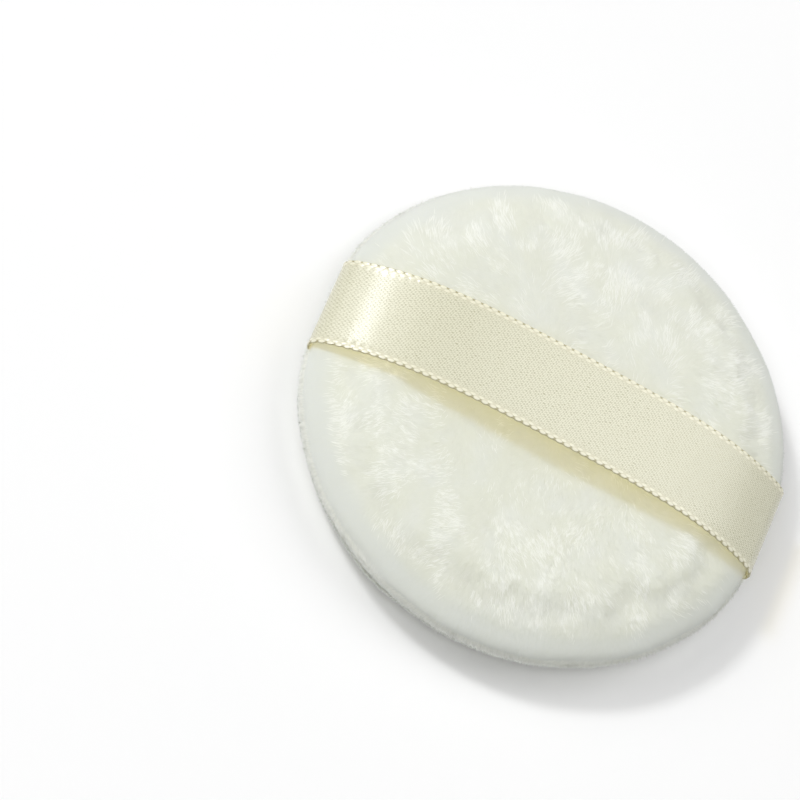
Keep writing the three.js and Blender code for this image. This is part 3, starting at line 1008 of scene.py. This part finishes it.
def velour_material(mottle):
    """Pile fibres: ivory at the root, near white at the tip, each tuft a little lighter or warmer.
    The warmer root is a painted tint of shade in the hollows, the cooler grey round the rim is
    painted shade, and the brightest tones are painted glint.
    """
    material, shade = new_material(
        "velour_pile", Roughness=0.8, Sheen_Weight=0.25, Sheen_Roughness=0.5, Specular_IOR_Level=0.25)
    cloudy = shade.node("ShaderNodeGroup", node_tree=mottle)
    tone = shade.attribute("tone")
    tip = shade.mix(tone, *NAP_TONES)
    tip = shade.mix(0.5, tip, cloudy.outputs["Colour"])
    # Towards the rim the nap is painted a cooler grey: painted shade
    tip = shade.mix(shade.part_of(shade.attribute("rim"), share=0.7), tip, NAP_RIM_SHADE)
    # The brightest tones turn near white: painted glint
    tip = shade.mix(shade.ramp(tone, low=0.8), tip, NAP_GLINT)
    # Warmer towards the root: painted shade tint of the pile's hollows
    colour = shade.mix(shade.attribute("height"), NAP_ROOT_SHADE, tip)
    shade.paint(colour)
    fibre = shade.lit_through(shade.body, colour)
    shade.let_through(fibre, shade.rays("Is Shadow Ray"), share=0.8, colour=NAP_TINT)
    return material


def ground_material(mottle):
    """Woven ground and matted underpile: ivory with a fine nap in its bump and colour."""
    material, shade = new_material(
        "velour_ground", Roughness=0.9, Sheen_Weight=0.2, Sheen_Roughness=0.6, Specular_IOR_Level=0.2)
    cloudy = shade.node("ShaderNodeGroup", node_tree=mottle)
    fine = shade.noise(shade.place(), scale=2600.0, detail=3.0, roughness=0.6)
    shade.paint(shade.mix(fine, GROUND_IVORY, cloudy.outputs["Colour"]))
    shade.bump(fine, strength=0.6, distance=0.0003)
    return material


def weave_group():
    """Satin weave on a flat map: rows of round yarns, each a run of floats, every row shifted along.

    A yarn is a parabola across its row. A float is flat along its length and drops at both ends.
    """
    group, shade, source, sink = new_group(
        "satin_weave", ("Place", "INPUT", "Vector"), ("Height", "OUTPUT", "Float"))
    place = source.outputs["Place"]
    parts = shade.node("ShaderNodeSeparateXYZ", {0: place}).outputs
    rows = shade.maths("DIVIDE", parts["Y"], YARN_PITCH * MM)
    wander = shade.part_of(shade.noise(place, scale=1500.0), FLOAT_WANDER)
    runs = shade.maths("ADD", shade.maths("DIVIDE", parts["X"], FLOAT_LENGTH * MM), wander)
    shift = shade.part_of(shade.maths("FLOOR", rows), FLOAT_SHIFT)
    runs = shade.maths("ADD", runs, shift)

    def drop(value, power):
        """1 in the middle of each whole step, falling to 0 at its ends by a power."""
        centred = shade.maths("MULTIPLY_ADD", shade.maths("FRACT", value), 2.0, -1.0)
        fall = shade.maths("POWER", shade.maths("ABSOLUTE", centred), power)
        return shade.maths("SUBTRACT", 1.0, fall)

    height = shade.maths("MULTIPLY", drop(rows, YARN_POWER), drop(runs, FLOAT_POWER))
    shade.feed(height, sink.inputs["Height"])
    return group


def satin_material():
    """Champagne satin: woven floats in its colour and bump, paler loops on the selvedges.

    The floats run along the ribbon, so the gloss spreads across it. Light that goes through the thin
    cloth to the pile below comes out warm. The weave's dips are painted darker, painted shade, and its
    float tops lighter, painted sheen; the gaps between the selvedge loops are painted darker,
    painted shade.
    """
    material, shade = new_material(
        "ribbon_satin", Roughness=0.21, IOR=1.55, Specular_IOR_Level=0.7, Sheen_Weight=0.1,
        Sheen_Roughness=0.4, Anisotropic=0.5, Anisotropic_Rotation=0.25)
    place = shade.node("ShaderNodeUVMap", uv_map="cloth").outputs["UV"]
    tangent = shade.node("ShaderNodeTangent", direction_type="UV_MAP", uv_map="cloth")
    shade.feed(tangent.outputs["Tangent"], shade.body.inputs["Tangent"])
    floats = shade.node("ShaderNodeGroup", {"Place": place}, node_tree=weave_group()).outputs["Height"]
    # Darker in the weave's dips, lighter on the float tops: painted shade and painted sheen
    body = shade.mix(floats, *SATIN_SHADE_AND_SHEEN)
    broad = shade.noise(place, scale=260.0)
    body = shade.mix(shade.part_of(broad, share=0.2), body, SATIN_BROAD)
    # Light loops with painted shade in the gaps between them
    edge = shade.mix(shade.attribute("bead"), *LOOP_AND_GAP_SHADE)
    shade.paint(shade.mix(shade.attribute("selvedge"), body, edge))
    shade.bump(floats, strength=0.13, distance=0.00010)
    passing = shade.rays("Is Shadow Ray", "Is Diffuse Ray")
    shade.let_through(shade.body, passing, share=0.9, colour=SATIN_TINT)
    return material


def sponge_material():
    """Open-cell foam: small round cells in its colour and bump."""
    material, shade = new_material("foam", Roughness=0.95, Specular_IOR_Level=0.2)
    cells = shade.node("ShaderNodeTexVoronoi", {"Vector": shade.place(), "Scale": 1400.0})
    depth = cells.outputs["Distance"]
    shade.paint(shade.mix(depth, *FOAM_TONES))
    shade.bump(depth, strength=0.8, distance=0.0004)
    return material


def thread_material():
    """Twisted polyester: fine fibres in colour and bump."""
    material, shade = new_material("sewing_thread", Roughness=0.55, Specular_IOR_Level=0.4)
    fibres = shade.noise(shade.place(), scale=9000.0, roughness=0.6)
    shade.paint(shade.mix(fibres, *THREAD_TONES))
    shade.bump(fibres, strength=0.5, distance=0.00005)
    return material


def make_floor():
    """A pale paper floor. It takes light and shadow by the puff, and further off it is plain white."""
    corners = FLOOR_REACH * np.array([[-1, -1, 0], [1, -1, 0], [1, 1, 0], [-1, 1, 0]])
    floor = make_mesh("floor", corners, np.array([[0, 1, 2, 3]]))
    material, shade = new_material("floor_paper", Roughness=0.9, Specular_IOR_Level=0.1)
    shade.body.inputs["Base Color"].default_value = (*[FLOOR_TONE] * 3, 1.0)
    away = shade.node("ShaderNodeVectorMath", {0: shade.place()}, operation="LENGTH")
    far = shade.ramp(away.outputs["Value"], FLOOR_FADE[0] * MM, FLOOR_FADE[1] * MM,
                     interpolation_type="SMOOTHSTEP")
    white = shade.node("ShaderNodeEmission")
    far = shade.part_of(far, shade.rays(*SEEN_RAYS))
    shade.show(shade.mix_shaders(far, shade.body, white))
    floor.data.materials.append(material)


def look_at(place, aim, roll=0.0):
    """A frame whose -Z points from place to aim, with X level and then rolled about the view."""
    ahead = unit(np.subtract(aim, place))
    level = unit(np.cross(ahead, [0.0, 0.0, 1.0]))
    upward = np.cross(level, ahead)
    right = np.cos(roll) * level + np.sin(roll) * upward
    top = np.cross(right, ahead)
    matrix = np.eye(4)
    matrix[:3, :3] = np.stack([right, top, -ahead], 1)
    matrix[:3, 3] = np.multiply(place, MM)
    return Matrix(matrix.tolist())


def add_lamp(name, place, size, power):
    """A square lamp that faces the origin."""
    lamp = bpy.data.lights.new(name, "AREA")
    lamp.energy = power
    lamp.size = size * MM
    add_object(name, lamp).matrix_world = look_at(place, (0.0, 0.0, 0.0))


def make_stage():
    """The floor, the lamps, and a dim sky that shows as white to the camera and in gloss."""
    make_floor()
    world = bpy.data.worlds.new("studio")
    scene.world = world
    world.use_nodes = True
    sky = world.node_tree.nodes["Background"]
    sky.inputs["Color"].default_value = (1.0, 1.0, 1.0, 1.0)
    shade = Shader(world.node_tree)
    strength = shade.maths("MULTIPLY_ADD", shade.rays(*SEEN_RAYS), 1.0 - SKY_LEVEL, SKY_LEVEL)
    shade.feed(strength, sky.inputs["Strength"])
    for lamp in LAMPS:
        add_lamp(*lamp)
    scene.view_settings.view_transform = "Standard"


def make_camera():
    """The camera on its ray from the aim point, at the fitted azimuth, elevation, distance and roll."""
    level = np.cos(CAMERA_ELEVATION)
    ray = np.array([level * np.cos(CAMERA_AZIMUTH), level * np.sin(CAMERA_AZIMUTH),
                    np.sin(CAMERA_ELEVATION)])
    data = bpy.data.cameras.new("camera")
    data.lens = CAMERA_LENS
    camera = add_object("camera", data)
    camera.matrix_world = look_at(CAMERA_AIM + ray * CAMERA_DISTANCE, CAMERA_AIM, CAMERA_ROLL)
    scene.camera = camera


def finish_piece(piece, material, body, slot, *nodes):
    """Gives a piece its material and, unless body is None, its body, and hides the nodes it stands for.
    The slot is not used.
    """
    piece.data.materials.append(material)
    if body:
        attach(piece, body)
    if nodes:
        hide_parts(*nodes)
    return piece


make_camera()
make_stage()
mottle = mottle_group()
velour = velour_material(mottle)
ground_cloth = ground_material(mottle)
satin = satin_material()
foam = sponge_material()
thread = thread_material()

# Covers and their pile
covers = {side: cover_ground(side) for side in (FRONT, BACK)}
front = make_cover("front_velour", FRONT, covers[FRONT][0])
finish_piece(front, ground_cloth, "pad", "velour", "front_cover")
back = make_cover("back_velour", BACK, covers[BACK][0])
finish_piece(back, ground_cloth, "pad", "velour", "back_cover")
for name, side, pieces, width, seed in PILE:
    for part in range(pieces):
        strands = comb_pile(side, *covers[side], width, seed + part)
        finish_piece(make_pile(f"{name}_{part + 1}", strands), velour, "pad", "velour")

# Ribbon, arched off the face in the middle and sewn into the seam at both ends
ribbon, ribbon_length = make_ribbon("finger_ribbon")
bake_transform(ribbon)
places = np.zeros(len(ribbon.data.vertices) * 3, np.float32)
ribbon.data.vertices.foreach_get("co", places)
finish_piece(ribbon, satin, None, "satin", "ribbon_span", "ribbon_left_end", "ribbon_right_end")

# Foam and threads
core = finish_piece(make_sponge("foam_core"), foam, "pad", "sponge", "sponge_core")
for name, path, node in (("needle_stitch", seam_path(FRONT), "needle_thread"),
                         ("bobbin_stitch", seam_path(BACK), "bobbin_thread"),
                         ("closing_stitch", closing_path(), "closing_thread")):
    finish_piece(make_thread(name, path), thread, "pad", "thread", node)
